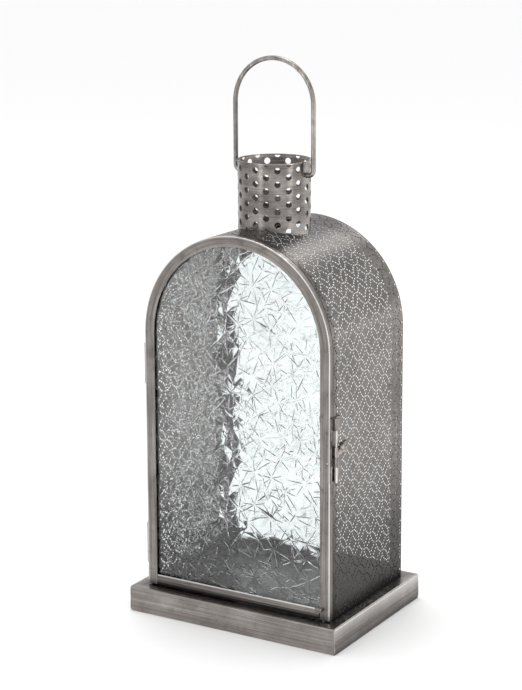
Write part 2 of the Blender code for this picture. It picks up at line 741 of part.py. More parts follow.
def bail_path():
    """Centre line (x, z) of the bail's wire from one end to the other, about its axis."""
    end_x = CHIMNEY_RADIUS - CHIMNEY_SHEET - BAIL_END
    corner_x = BAIL_HALF_SPAN - BAIL_BEND
    right = [(end_x, 0.0)]
    for i in range(ELBOW_STEPS + 1):
        angle = math.pi / 2 * (i / ELBOW_STEPS - 1)
        right.append((corner_x + BAIL_BEND * math.cos(angle), BAIL_BEND * (1 + math.sin(angle))))
    bow = []
    for i in range(BOW_STEPS + 1):
        angle = math.pi * i / BOW_STEPS
        bow.append((BAIL_HALF_SPAN * math.cos(angle), BAIL_LEG + BAIL_HALF_SPAN * math.sin(angle)))
    left = [(-x, z) for x, z in reversed(right)]
    return right + bow + left


def make_bail():
    path = [Vector((x, 0, z)) for x, z in bail_path()]
    rings = []
    for i, point in enumerate(path):
        before = path[max(i - 1, 0)]
        after = path[min(i + 1, len(path) - 1)]
        along = (after - before).normalized()
        across = along.cross(Vector((0, 1, 0)))
        section = circle(WIRE_RADIUS, WIRE_SIDES)
        rings.append([point + across * a + Vector((0, b, 0)) for a, b in section])
    bail = add_object("bail_handle", loft("bail_handle", rings), pewter, 50)
    bail.location = (0, 0, BAIL_Z)
    return bail


# ---- the lantern -----------------------------------------------------------


def build():
    clear_scene()
    door_at = (HINGE_X, HINGE_Y, 0)
    door_pivot = pivot("door_pivot", door_at)
    plinth = make_plinth()
    shell = make_shell()
    make_rivets(plinth, shell)
    make_frames(door_pivot, door_at)
    make_rails(door_pivot, door_at)
    make_panes(door_pivot, door_at)
    make_clips(door_pivot, door_at)
    make_hinges(door_pivot, door_at)
    make_latch(door_pivot, door_at)
    make_chimney()
    make_bail()


build()
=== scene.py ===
import math
import random
import bmesh
import bpy
import numpy as np
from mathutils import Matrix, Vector
from mathutils.geometry import delaunay_2d_cdt


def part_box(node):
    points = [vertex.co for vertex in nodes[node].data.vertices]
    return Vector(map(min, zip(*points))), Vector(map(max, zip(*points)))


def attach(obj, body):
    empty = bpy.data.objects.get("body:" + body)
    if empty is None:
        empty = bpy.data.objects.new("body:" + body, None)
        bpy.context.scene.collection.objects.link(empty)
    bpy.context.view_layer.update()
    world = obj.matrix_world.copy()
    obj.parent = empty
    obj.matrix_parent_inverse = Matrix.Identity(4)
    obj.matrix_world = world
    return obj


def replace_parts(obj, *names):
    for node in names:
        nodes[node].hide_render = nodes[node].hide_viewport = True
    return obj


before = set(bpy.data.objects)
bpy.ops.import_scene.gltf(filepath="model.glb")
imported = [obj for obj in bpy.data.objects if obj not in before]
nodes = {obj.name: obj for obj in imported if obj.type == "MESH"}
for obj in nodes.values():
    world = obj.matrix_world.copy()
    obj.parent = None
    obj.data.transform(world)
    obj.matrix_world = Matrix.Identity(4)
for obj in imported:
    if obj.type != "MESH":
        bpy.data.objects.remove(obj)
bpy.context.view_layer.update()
mm = 0.001
print("frame loaded:", len(nodes), "nodes")

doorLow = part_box("door_frame")[0]
shellLow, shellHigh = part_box("body_shell")
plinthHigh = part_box("base_plinth")[1]
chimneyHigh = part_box("chimney")[1]
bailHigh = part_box("bail_handle")[1]
halfWidth = shellHigh.x
springZ = shellHigh.z - halfWidth  # where the walls end and the arch begins


# camera, floor, light

camera = {
    "place": (0.82145, -1.36552, 0.62105),
    "turn": 30.03,  # degrees round from the door's axis
    "tilt": 10.584,  # degrees down
    "lens": 101.75,
    "sensor": 36.0,
    "shift": (-0.068, -0.160),
}


def setCamera():
    data = bpy.data.cameras.new("studioCamera")
    data.lens = camera["lens"]
    data.sensor_width = camera["sensor"]
    data.shift_x, data.shift_y = camera["shift"]
    data.clip_start = 0.05
    data.clip_end = 60
    body = bpy.data.objects.new("studioCamera", data)
    bpy.context.scene.collection.objects.link(body)
    turn = math.radians(camera["turn"])
    tilt = math.radians(camera["tilt"])
    flat = math.cos(tilt)
    back = Vector((math.sin(turn) * flat, -math.cos(turn) * flat, math.sin(tilt)))
    body.rotation_mode = "QUATERNION"
    body.rotation_quaternion = (-back).to_track_quat("-Z", "Y")
    body.location = camera["place"]
    bpy.context.scene.camera = body


# each: place, aim, size in metres, power in watts, warmth of the colour
softboxes = {
    "frontStrip": ((-0.45, -2.1, 0.55), (0, 0, 0.3), (0.3, 0.9), 4.5, (1.0, 0.99, 0.98)),
    "rightStrip": ((2.2, -0.3, 0.55), (0, 0, 0.3), (0.3, 0.9), 5, (1.0, 0.99, 0.98)),
    "behind": ((0.0, 2.0, 1.68), (0.03, 0, 0.3), (0.6, 0.35), 3.0, (1.0, 0.99, 0.98)),
    "lowRight": ((1.25, 1.7, 0.12), (0.1, 0, 0.0), (0.9, 0.15), 0.6, (1.0, 0.99, 0.98)),
    "top": ((-0.3, 0.2, 2.2), (0, 0, 0.3), (0.8, 0.8), 12, (1.0, 1.0, 1.0)),
}
studio = {"air": (1.0, 1.0, 1.0), "airStrength": 1.02, "floorTone": (0.95, 0.95, 0.95), "floorReach": 30.0}


def setStudio():
    for name, (place, aim, size, power, colour) in softboxes.items():
        light = bpy.data.lights.new(name, "AREA")
        light.shape = "RECTANGLE"
        light.size, light.size_y = size
        light.energy = power
        light.color = colour
        lamp = bpy.data.objects.new(name, light)
        bpy.context.scene.collection.objects.link(lamp)
        lamp.location = place
        lamp.rotation_mode = "QUATERNION"
        lamp.rotation_quaternion = (Vector(aim) - Vector(place)).to_track_quat("-Z", "Y")
    world = bpy.data.worlds.new("studioAir")
    world.use_nodes = True
    world.node_tree.nodes["Background"].inputs["Color"].default_value = (*studio["air"], 1)
    world.node_tree.nodes["Background"].inputs["Strength"].default_value = studio["airStrength"]
    bpy.context.scene.world = world
    bpy.context.scene.view_settings.view_transform = "Standard"
    reach = studio["floorReach"]
    mesh = bpy.data.meshes.new("studioFloor")
    corners = [(-reach, -reach, 0), (reach, -reach, 0), (reach, reach, 0), (-reach, reach, 0)]
    mesh.from_pydata(corners, [], [(0, 1, 2, 3)])
    floor = bpy.data.objects.new("studioFloor", mesh)
    bpy.context.scene.collection.objects.link(floor)
    paint = Finish("paleFloor")
    paint.set("Base Color", (*studio["floorTone"], 1))
    paint.set("Roughness", 0.9)
    paint.set("Specular IOR Level", 0.1)
    mesh.materials.append(paint.material)


# shader sums

class Signal:  # an output socket that sums like a number
    def __init__(self, finish, socket):
        self.finish = finish
        self.socket = socket

    def sum(self, operation, first, second=0.0):
        return self.finish.node("ShaderNodeMath", {"operation": operation}, {0: first, 1: second})

    def __add__(self, other):
        return self.sum("ADD", self, other)

    def __radd__(self, other):
        return self.sum("ADD", other, self)

    def __sub__(self, other):
        return self.sum("SUBTRACT", self, other)

    def __rsub__(self, other):
        return self.sum("SUBTRACT", other, self)

    def __mul__(self, other):
        return self.sum("MULTIPLY", self, other)

    def __rmul__(self, other):
        return self.sum("MULTIPLY", other, self)

    def __truediv__(self, other):
        return self.sum("DIVIDE", self, other)

    def __rtruediv__(self, other):
        return self.sum("DIVIDE", other, self)

    def __pow__(self, other):
        return self.sum("POWER", self, other)

    def __rpow__(self, other):
        return self.sum("POWER", other, self)

    def __abs__(self):
        return self.sum("ABSOLUTE", self)

    def __lt__(self, other):
        return self.sum("LESS_THAN", self, other)

    def __gt__(self, other):
        return self.sum("GREATER_THAN", self, other)

    def atLeast(self, other):
        return self.sum("MAXIMUM", self, other)

    def atMost(self, other):
        return self.sum("MINIMUM", self, other)


class Finish:  # one material made of nodes
    def __init__(self, name):
        self.material = bpy.data.materials.new(name)
        self.material.use_nodes = True
        self.tree = self.material.node_tree
        self.shader = self.tree.nodes["Principled BSDF"]
        self.coords = None

    def plug(self, target, value):
        if isinstance(value, Signal):
            self.tree.links.new(value.socket, target)
        else:
            target.default_value = value

    def set(self, socket, value):
        self.plug(self.shader.inputs[socket], value)

    def node(self, kind, settings=None, inputs=None, out=0):
        made = self.tree.nodes.new(kind)
        for key, value in (settings or {}).items():
            if key == "stops":
                ramp = made.color_ramp.elements
                while len(ramp) < len(value):
                    ramp.new(0.5)
                for step, (at, tone) in zip(ramp, value):
                    step.position = at
                    step.color = (tone, tone, tone, 1)
            else:
                setattr(made, key, value)
        for key, value in (inputs or {}).items():
            self.plug(made.inputs[key], value)
        return Signal(self, made.outputs[out])

    def place(self):  # x, y and z on the piece
        if self.coords is None:
            split = self.tree.nodes.new("ShaderNodeSeparateXYZ")
            where = self.tree.nodes.new("ShaderNodeTexCoord")
            self.tree.links.new(where.outputs["Object"], split.inputs[0])
            self.coords = [Signal(self, socket) for socket in split.outputs]
        return self.coords

    def vector(self, x, y, z):
        return self.node("ShaderNodeCombineXYZ", None, {0: x, 1: y, 2: z})

    def noise(self, where, scale, detail=3.0, rough=0.5):
        sockets = {"Vector": where, "Scale": scale, "Detail": detail, "Roughness": rough}
        return self.node("ShaderNodeTexNoise", {"noise_dimensions": "3D"}, sockets)

    def ramp(self, value, *stops):
        return self.node("ShaderNodeValToRGB", {"stops": stops}, {0: value})

    def blend(self, share, first, second):
        return self.node("ShaderNodeMix", {"data_type": "RGBA"}, {0: share, 6: first, 7: second}, 2)

    def bump(self, height, strength, distance):
        sockets = {"Height": height, "Strength": strength, "Distance": distance}
        return self.node("ShaderNodeBump", None, sockets)


# metal

def archGrain(metal):  # strokes run up the legs and round the arch
    x, y, z = metal.place()
    rise = (z - springZ).atLeast(0.0)
    side = abs(x)
    reach = (side * side + rise * rise) ** 0.5
    angle = metal.node("ShaderNodeMath", {"operation": "ARCTAN2"}, {0: rise, 1: side})
    along = (z - springZ).atMost(0.0) + angle * halfWidth
    return reach, y, along


def lengthGrain(metal):  # strokes run along x
    x, y, z = metal.place()
    return y, z, x


def depthGrain(metal):  # strokes run along y
    x, y, z = metal.place()
    return x, z, y


def heightGrain(metal):  # strokes run up and down
    x, y, z = metal.place()
    return x, y, z


def roundGrain(metal):  # strokes run round the chimney
    x, y, z = metal.place()
    return z, z * 0.5, metal.node("ShaderNodeMath", {"operation": "ARCTAN2"}, {0: y, 1: x}) * chimneyHigh.x


def trayGrain(metal):  # strokes follow each long side of the plinth
    x, y, z = metal.place()
    ends = abs(x) > plinthHigh.x - 2 * mm
    along = x + (y - x) * ends
    across = y + (x - y) * ends
    return across, z, along


# how far from its edge each mark of wear, painted highlight and painted shade reaches, and how strong it is
wearAndPaintedLight = {
    # rubbed edges and corners of the plinth, lightened also as painted highlights
    "plinthSide": 0.7 * mm,
    "plinthTop": 0.9 * mm,
    "plinthTopRubHighlight": 0.9,
    "plinthCorner": 1.3 * mm,
    "plinthCornerRubHighlight": 0.3,
    "plinthLit": 11 * mm,  # painted highlight: lighter upper part of the two end faces
    "plinthLitHighlight": 0.42,
    # painted shade on the plinth round the body's foot and low on its end faces
    "plinthTopShade": 0.85,
    "plinthLowShade": 0.8,
    # rubbed outer corner of the door frame, lightened also as a painted highlight
    "frameRim": 1.3 * mm,
    "frameFace": 0.8 * mm,
    "frameRubHighlight": 0.85,
    # rubbed hem of the rail, lightened also as a painted highlight
    "railHem": 1.0 * mm,
    "railRubHighlight": 0.7,
    "footFrom": 22 * mm,  # height where the painted shade at the foot of the walls starts to lighten
    "footOver": 120 * mm,
    # painted shade along the top of the roof
    "crownFrom": 285 * mm,
    "crownOver": 47 * mm,
    "crownShade": 0.65,
    "tubeShadeFrom": 4 * mm,  # painted shade inside the chimney starts this far below its top
    "tubeShadeOver": 18 * mm,
    "tubeShadeMost": 0.45,
}


def near(value, line, reach):  # 1 on the line, fading to 0 at its reach
    return (1.0 - abs(value - line) / reach).atLeast(0.0)


def plinthEdges(metal):  # rubbed top and bottom edges and corners, lightened also as painted highlights, and a painted highlight on the upper part of the end faces
    x, y, z = metal.place()
    reach, corner = wearAndPaintedLight["plinthSide"], wearAndPaintedLight["plinthCorner"]
    side = near(abs(x), plinthHigh.x, reach).atLeast(near(abs(y), plinthHigh.y, reach))
    upright = near(abs(x), plinthHigh.x, corner) * near(abs(y), plinthHigh.y, corner)
    top = near(z, plinthHigh.z, wearAndPaintedLight["plinthTop"])
    lit = near(z, plinthHigh.z, wearAndPaintedLight["plinthLit"]) * (abs(x) > plinthHigh.x - 0.5 * mm)
    rubbedAndHighlit = (side * top * wearAndPaintedLight["plinthTopRubHighlight"]).atLeast(upright * wearAndPaintedLight["plinthCornerRubHighlight"])
    return rubbedAndHighlit.atLeast(lit * wearAndPaintedLight["plinthLitHighlight"])


def frameEdges(metal):  # rubbed outer corner of the door's front, all the way round, lightened also as a painted highlight
    x, y, z = metal.place()
    rise = (z - springZ).atLeast(0.0)
    reach = (x * x + rise * rise) ** 0.5
    rim = near(reach, halfWidth, wearAndPaintedLight["frameRim"])
    return rim * near(abs(y), -doorLow.y, wearAndPaintedLight["frameFace"]) * wearAndPaintedLight["frameRubHighlight"]


def railEdges(metal):  # hemmed top edge, rubbed and lightened also as a painted highlight
    x, y, z = metal.place()
    return near(z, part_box("door_bottom_rail")[1].z, wearAndPaintedLight["railHem"]) * wearAndPaintedLight["railRubHighlight"]


def wallShade(metal):  # painted shade: the body darkens towards its foot and along the top of the roof
    x, y, z = metal.place()
    foot = metal.ramp((z - wearAndPaintedLight["footFrom"]) / wearAndPaintedLight["footOver"], (0.0, 1.0), (0.4, 0.75), (1.0, 0.0))
    crown = metal.ramp((z - wearAndPaintedLight["crownFrom"]) / wearAndPaintedLight["crownOver"], (0.0, 0.0), (0.55, 0.5), (1.0, 1.0))
    return (foot + crown * wearAndPaintedLight["crownShade"]).atMost(1.0)


def tubeShade(metal):  # painted shade darkens the chimney's inside downwards
    x, y, z = metal.place()
    depth = (chimneyHigh.z - z - wearAndPaintedLight["tubeShadeFrom"]) / wearAndPaintedLight["tubeShadeOver"]
    return depth.atLeast(0.0).atMost(wearAndPaintedLight["tubeShadeMost"])


def trayShade(metal):  # painted shade on the plinth round the body's foot and along its lower edge
    x, y, z = metal.place()
    out = (abs(x) - halfWidth).atLeast(abs(y) + doorLow.y) / (plinthHigh.x - halfWidth)
    top = metal.ramp(out, (0.05, 1.0), (0.45, 0.45), (0.85, 0.0)) * (z > plinthHigh.z - 1.0 * mm)
    low = metal.ramp(z / plinthHigh.z, (0.0, 0.85), (0.3, 0.4), (0.6, 0.0))
    side = low * (abs(x) > plinthHigh.x - 1.0 * mm)
    return (top * wearAndPaintedLight["plinthTopShade"]).atLeast(side * wearAndPaintedLight["plinthLowShade"])


def pewter(name, grain, look, rubbedAndHighlit=None, shaded=None):
    metal = Finish(name)
    across, second, along = grain(metal)
    fine = metal.vector(across * look["fine"], second * look["fine"], along * look["run"])
    broad = metal.vector(across * look["broad"], second * look["broad"], along * look["run"] * 0.35)
    x, y, z = metal.place()
    where = metal.vector(x, y, z)
    streak = metal.noise(fine, 1.0, 4.0, 0.6)
    band = metal.noise(broad, 1.0, 2.0, 0.5)
    cloud = metal.noise(where, look["cloud"], 4.0, 0.6)
    fleck = metal.noise(where, 900.0, 2.0, 0.5)
    blotch = metal.noise(where, look["blotch"], 5.0, 0.62)
    tone = streak * look["streak"] + band * look["band"] + cloud * (1.0 - look["streak"] - look["band"])
    spread = look["spread"]
    shade = metal.ramp(tone, (0.5 - spread, 0.0), (0.5, 0.5), (0.5 + spread, 1.0))
    low = metal.blend((shade * 2.0).atMost(1.0), look["dark"], look["mid"])
    body = metal.blend((shade * 2.0 - 1.0).atLeast(0.0), low, look["light"])
    patches = metal.ramp(blotch, (0.54, 0.0), (0.66, 1.0)) * look["patches"]
    body = metal.blend(patches, body, look["dark"])
    # painted shade, blended towards the dark grime colour
    if shaded:
        body = metal.blend(shaded(metal), body, look["grimeAndShade"])
    spots = metal.ramp(fleck, (0.66, 0.0), (0.74, 1.0)) * look["flecks"]
    body = metal.blend(spots, body, look["grimeAndShade"])
    rough = look["rough"] + (streak - 0.5) * look["roughSpread"] + (cloud - 0.5) * 0.12 + patches * 0.08
    # rubbed edges, lightened also as painted highlights
    if rubbedAndHighlit:
        rubAndHighlight = (rubbedAndHighlit(metal) * (0.45 + streak * 1.1)).atMost(1.0)
        body = metal.blend(rubAndHighlight, body, look["rubAndHighlight"])
        rough = rough - rubAndHighlight * 0.14
    metal.set("Base Color", body)
    metal.set("Metallic", 1.0 - spots * 0.7)
    metal.set("Roughness", rough)
    metal.set("Normal", metal.bump(streak * 0.7 + fleck * 0.3, look["relief"], 0.00012))
    return metal.material


def toned(share, **changes):  # the pewter, lighter or darker, with what else differs
    look = {**brushed, **changes}
    for name in ("dark", "mid", "light"):
        look[name] = tuple(min(1.0, c * share) for c in look[name][:3]) + (1,)
    return look


brushed = {
    "dark": (0.075, 0.067, 0.061, 1),
    "mid": (0.235, 0.214, 0.2, 1),
    "light": (0.47, 0.445, 0.425, 1),
    # dark colour of real grime flecks, also used for painted shade
    "grimeAndShade": (0.03, 0.026, 0.024, 1),
    # colour of rubbed edges, also used as a painted highlight
    "rubAndHighlight": (0.93, 0.92, 0.905, 1),
    "fine": 2600.0,
    "broad": 420.0,
    "run": 22.0,
    "cloud": 38.0,
    "blotch": 95.0,
    "streak": 0.5,
    "band": 0.3,
    "patches": 0.35,
    "spread": 0.14,  # smaller is blotchier
    "flecks": 0.35,
    "rough": 0.33,
    "roughSpread": 0.22,
    "relief": 0.25,
}
frameMetal = pewter("brushedFrame", archGrain, toned(0.85, patches=0.45, spread=0.17), frameEdges)
railMetal = pewter("brushedRail", lengthGrain, toned(0.66, streak=0.55, band=0.35, run=14.0), railEdges)
trayLook = toned(1.1, streak=0.55, band=0.2, run=8.0, broad=300.0, rough=0.27, patches=0.25,
                 spread=0.19)
trayMetal = pewter("brushedTray", trayGrain, trayLook, plinthEdges, trayShade)
shellLook = toned(0.74, streak=0.3, band=0.25, cloud=24.0, relief=0.1, rough=0.31, patches=0.1, flecks=0.2,
                  spread=0.34)
shellMetal = pewter("piercedSheet", depthGrain, shellLook, shaded=wallShade)
tubeLook = toned(0.9, fine=3600.0, broad=900.0, streak=0.4, band=0.1, run=30.0, rough=0.22, patches=0.2)
tubeMetal = pewter("brushedTube", roundGrain, tubeLook)
fittingMetal = pewter("darkFitting", heightGrain, toned(0.7, streak=0.35, rough=0.28, flecks=0.5))
latchMetal = pewter("latchPlate", heightGrain, toned(0.95, streak=0.35, rough=0.26, flecks=0.4, patches=0.5))
leverMetal = pewter("turnedLever", heightGrain, toned(1.5, streak=0.3, rough=0.22, patches=0.15, flecks=0.25))
insideLook = toned(1.5, streak=0.3, rough=0.5, patches=0.1, flecks=0.2)
insideMetal = pewter("tubeInside", roundGrain, insideLook, shaded=tubeShade)
rimMetal = pewter("rubbedRim", roundGrain, toned(1.35, streak=0.3, rough=0.24, patches=0.1))
brightMetal = pewter("brightRivet", heightGrain, toned(2.2, streak=0.3, rough=0.2, patches=0.1, flecks=0.1))
wireMetal = pewter("dullWire", heightGrain, toned(1.0, fine=1500.0, streak=0.3, rough=0.3))


# meshes

def newPiece(name, mesh, body, finish=None, smooth=None):
    piece = bpy.data.objects.new(name, mesh)
    bpy.context.scene.collection.objects.link(piece)
    if finish is not None:
        mesh.materials.append(finish)
    if smooth is not None:
        mesh.shade_smooth()
        mesh.set_sharp_from_angle(angle=math.radians(smooth))
    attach(piece, body)
    return piece


def ringMesh(name, rings, closed=False, caps=True):  # a skin over rings of points
    count = len(rings[0])
    verts = [tuple(point) for ring in rings for point in ring]
    faces = []
    spans = len(rings) if closed else len(rings) - 1
    for r in range(spans):
        a = r * count
        b = (r + 1) % len(rings) * count
        for i in range(count):
            j = (i + 1) % count
            faces.append((a + i, a + j, b + j, b + i))
    if caps and not closed:
        faces.append(tuple(reversed(range(count))))
        faces.append(tuple(range((len(rings) - 1) * count, len(rings) * count)))
    mesh = bpy.data.meshes.new(name)
    mesh.from_pydata(verts, [], faces)
    fixNormals(mesh)
    return mesh


def fixNormals(mesh):
    bm = bmesh.new()
    bm.from_mesh(mesh)
    bmesh.ops.recalc_face_normals(bm, faces=bm.faces)
    bm.to_mesh(mesh)
    bm.free()


def sweep(path, radius, sides, flatten=1.0):  # rings of a round rod along a path
    points = [Vector(p) for p in path]
    rings = []
    side = None
    for i, point in enumerate(points):
        ahead = (points[min(i + 1, len(points) - 1)] - points[max(i - 1, 0)]).normalized()
        if side is None:
            side = ahead.orthogonal().normalized()
        side = (side - ahead * side.dot(ahead)).normalized()
        up = ahead.cross(side)
        share = radius(i / (len(points) - 1)) if callable(radius) else radius
        ring = []
        for k in range(sides):
            turn = 2 * math.pi * k / sides
            ring.append(point + side * math.cos(turn) * share + up * math.sin(turn) * share * flatten)
        rings.append(ring)
    return rings


# pierced sheets are drawn flat, triangulated round their holes, then bent and given a thickness

def pierce(outline, holes, guides=(), inside=None):  # a hole is its centre, its radii and its sides
    verts = [Vector(p) for p in outline]
    links = [(i, (i + 1) % len(outline)) for i in range(len(outline))]
    for cu, cv, ru, rv, sides in holes:
        start = len(verts)
        for k in range(sides):
            turn = 2 * math.pi * (k + 0.5) / sides
            verts.append(Vector((cu + ru * math.cos(turn), cv + rv * math.sin(turn))))
            links.append((start + k, start + (k + 1) % sides))
    verts.extend(Vector(p) for p in guides)
    out = delaunay_2d_cdt(verts, links, [], 0, 1e-7)
    points = np.array([(p.x, p.y) for p in out[0]])
    tris = np.array(out[2], int)
    middle = points[tris].mean(axis=1)
    keep = np.ones(len(tris), bool) if inside is None else inside(middle)
    for cu, cv, ru, rv, sides in holes:
        close = np.nonzero((abs(middle[:, 0] - cu) < ru) & (abs(middle[:, 1] - cv) < rv))[0]
        du = (middle[close, 0] - cu) / ru
        dv = (middle[close, 1] - cv) / rv
        step = 2 * math.pi / sides
        turn = np.mod(np.arctan2(dv, du) - step / 2, step) - step / 2
        keep[close] &= np.hypot(du, dv) * np.cos(turn) > math.cos(step / 2)
    tris = tris[keep]
    one = points[tris[:, 1]] - points[tris[:, 0]]
    two = points[tris[:, 2]] - points[tris[:, 0]]
    turned = one[:, 0] * two[:, 1] < one[:, 1] * two[:, 0]
    tris[turned] = tris[turned][:, ::-1]
    return points, tris


def weldSheet(parts):  # flat patches that share their border points, as one
    points = np.concatenate([p for p, _ in parts])
    offsets = np.cumsum([0] + [len(p) for p, _ in parts])
    tris = np.concatenate([t + o for (_, t), o in zip(parts, offsets)])
    keys = np.round(points * 2e5).astype(np.int64)
    _, first, back = np.unique(keys, axis=0, return_index=True, return_inverse=True)
    tris = back.reshape(-1)[tris]
    points = points[first]
    whole = (tris[:, 0] != tris[:, 1]) & (tris[:, 1] != tris[:, 2]) & (tris[:, 0] != tris[:, 2])
    return points, tris[whole]


def sheetMesh(name, points, tris, bend):  # bend gives outer points, inner points and the way out
    used = np.unique(tris)
    remap = np.full(len(points), -1)
    remap[used] = np.arange(len(used))
    points, tris = points[used], remap[tris]
    count = len(points)
    outer, inner, way = bend(points)
    coords = np.concatenate([outer, inner])
    rim = np.concatenate([tris[:, [0, 1]], tris[:, [1, 2]], tris[:, [2, 0]]])
    _, index, seen = np.unique(np.sort(rim, axis=1), axis=0, return_index=True, return_counts=True)
    rim = rim[index[seen == 1]]
    walls = np.stack([rim[:, 0], rim[:, 0] + count, rim[:, 1] + count, rim[:, 1]], 1)
    mesh = bpy.data.meshes.new(name)
    faces = tris.tolist() + (tris[:, ::-1] + count).tolist() + walls.tolist()
    mesh.from_pydata(coords.tolist(), [], faces)
    across = np.cross(coords[walls[:, 1]] - coords[walls[:, 0]], coords[walls[:, 2]] - coords[walls[:, 1]])
    across /= np.maximum(np.linalg.norm(across, axis=1), 1e-12)[:, None]
    outwards, inwards = way[tris].reshape(-1, 3), -way[tris[:, ::-1]].reshape(-1, 3)
    mesh.shade_smooth()
    mesh.normals_split_custom_set(np.concatenate([outwards, inwards, np.repeat(across, 4, axis=0)]).tolist())
    return mesh


# body sheet, pierced with rings of pinholes that overlap

lattice = {
    "across": 10.445 * mm,  # from one column of ring centres to the next
    "along": 10.92 * mm,
    "firstColumn": -55.2 * mm,
    "firstRow": 121.0 * mm,
    "pinhole": 1.8 * mm,
    "sides": 8,
    "sheet": 0.3 * mm,
    "foot": 13 * mm,
    "flue": 27 * mm,  # radius of the opening under the chimney
    "margin": 1.2 * mm,
    "freeLine": 0.397,  # in steps: a line between rows that no pinhole crosses
}


def ringDots():  # places round a ring, and round the crossing of four rings, in lattice steps
    ring = []
    for degrees in (30, 45, 60, 120, 135, 150, 210, 225, 240, 300, 315, 330):
        turn = math.radians(degrees)
        ring.append((math.cos(turn), math.sin(turn)))
    arm = math.sin(math.radians(15))
    cross = [(0, 0), (arm, 0), (-arm, 0), (0, arm), (0, -arm)]
    return ring, cross


def withinOval(u, v, oval, extra=0.0, share=1.0):
    across, along = (u - oval[0]) / (oval[2] + extra), (v - oval[1]) / (oval[3] + extra)
    return math.hypot(across, along) < share


def pinholes(low, high, left, right, flue=None):
    ring, cross = ringDots()
    radiusU = lattice["pinhole"] / 2 / lattice["across"]
    radiusV = lattice["pinhole"] / 2 / lattice["along"]
    edge = lattice["margin"] / lattice["across"]
    found = {}
    for k in range(math.floor(left) - 1, math.ceil(right) + 2):
        for m in range(math.floor(low) - 1, math.ceil(high) + 2):
            for du, dv in ring if (k + m) % 2 else cross:
                u, v = k + du, m + dv
                if not (left + edge < u < right - edge and low + radiusV < v < high - radiusV):
                    continue
                if flue and withinOval(u, v, flue, edge):
                    continue
                found[(round(u, 3), round(v, 3))] = (u, v, radiusU, radiusV, lattice["sides"])
    return list(found.values())


def border(low, high, left, right, step=0.25):  # points round a patch, shared with the next one
    rows = max(1, round((high - low) / step))
    columns = max(1, round((right - left) / step))
    wide, tall = (right - left) / columns, (high - low) / rows
    points = [(left + wide * i, low) for i in range(columns)]
    points += [(right, low + tall * i) for i in range(rows)]
    points += [(right - wide * i, high) for i in range(columns)]
    points += [(left, high - tall * i) for i in range(rows)]
    return points


def bendOverArch(points):  # up the right wall, over the arch, down the left wall, feet turned in
    y = lattice["firstColumn"] + points[:, 0] * lattice["across"]
    run = lattice["firstRow"] + points[:, 1] * lattice["along"] - shellLow.z
    wall = springZ - shellLow.z
    total = 2 * wall + math.pi * halfWidth
    angle = np.clip((run - wall) / halfWidth, 0, math.pi)
    way = np.stack([np.cos(angle), 0 * y, np.sin(angle)], 1)
    rise = np.clip(np.minimum(run, total - run), 0, wall)
    outer = way * halfWidth + np.stack([0 * y, y, shellLow.z + rise], 1)
    beyond = np.maximum(np.where(run < wall, -run, run - total), 0)
    outer[:, 0] -= np.sign(outer[:, 0]) * beyond
    inner = outer - way * lattice["sheet"]
    foot = rise <= 1e-7
    inner[foot] = outer[foot] + np.array((0, 0, lattice["sheet"]))
    fold = foot & (beyond <= 1e-7)
    inner[fold] -= way[fold] * lattice["sheet"]
    way[foot & ~fold] = (0, 0, -1)
    return outer, inner, way


def buildShell():
    left = (shellLow.y - lattice["firstColumn"]) / lattice["across"]
    right = (shellHigh.y - lattice["firstColumn"]) / lattice["across"]
    total = (2 * (springZ - shellLow.z) + math.pi * halfWidth) / lattice["along"]
    low = (shellLow.z - lattice["firstRow"]) / lattice["along"]
    high = low + total
    foot = lattice["foot"] / lattice["along"]
    free = math.ceil(low) + lattice["freeLine"]
    flue = lattice["flue"]
    hole = (-lattice["firstColumn"] / lattice["across"], low + total / 2, flue / lattice["across"],
            halfWidth * math.asin(flue / halfWidth) / lattice["along"], 64)

    def patch(bottom, top, opening=None):
        guides = []
        for k in range(math.floor(left) + 1, math.ceil(right)):
            for m in range(math.ceil(bottom), math.floor(top) + 1):
                if (k + m) % 2 and bottom + 0.3 < m < top - 0.3:
                    spots = [(0, 0), (0.2, 0.2), (-0.2, 0.2), (0.2, -0.2), (-0.2, -0.2)]
                    guides += [(k + a, m + b) for a, b in spots if left + 0.1 < k + a < right - 0.1]
        dots = pinholes(bottom, top, left, right, opening)
        if opening:
            guides = [g for g in guides if not withinOval(*g, opening, share=1.1)]
            dots.append(opening)
        return pierce(border(bottom, top, left, right), dots, guides)

    row = patch(free, free + 2)

    def rows(first, last):
        return [(row[0] + np.array((0, 2.0 * j)), row[1]) for j in range(first, last)]

    flueRow = math.floor((hole[1] - hole[3] - free) / 2)
    flueEnd = math.ceil((hole[1] + hole[3] - free) / 2)
    lastRow = math.floor((high - free) / 2)
    foldedFoot = pierce(border(low - foot, low, left, right), [])
    farFoot = (foldedFoot[0] + np.array((0, total + foot)), foldedFoot[1])
    flueRows = patch(free + 2 * flueRow, free + 2 * flueEnd, hole)
    walls = {
        "shellRightWall": [foldedFoot, patch(low, free)] + rows(0, 10),
        "shellRoof": rows(10, flueRow) + [flueRows] + rows(flueEnd, 23),
        "shellLeftWall": rows(23, lastRow) + [patch(free + 2 * lastRow, high), farFoot],
    }
    made = []
    for name, parts in walls.items():
        mesh = sheetMesh(name, *weldSheet(parts), bendOverArch)
        made.append(newPiece(name, mesh, "lantern", shellMetal))
        print(name, len(mesh.polygons), "faces")
    for wall in made:
        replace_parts(wall, "body_shell")


# chimney: a punched strip rolled round on itself, with a lap under one end of the bail

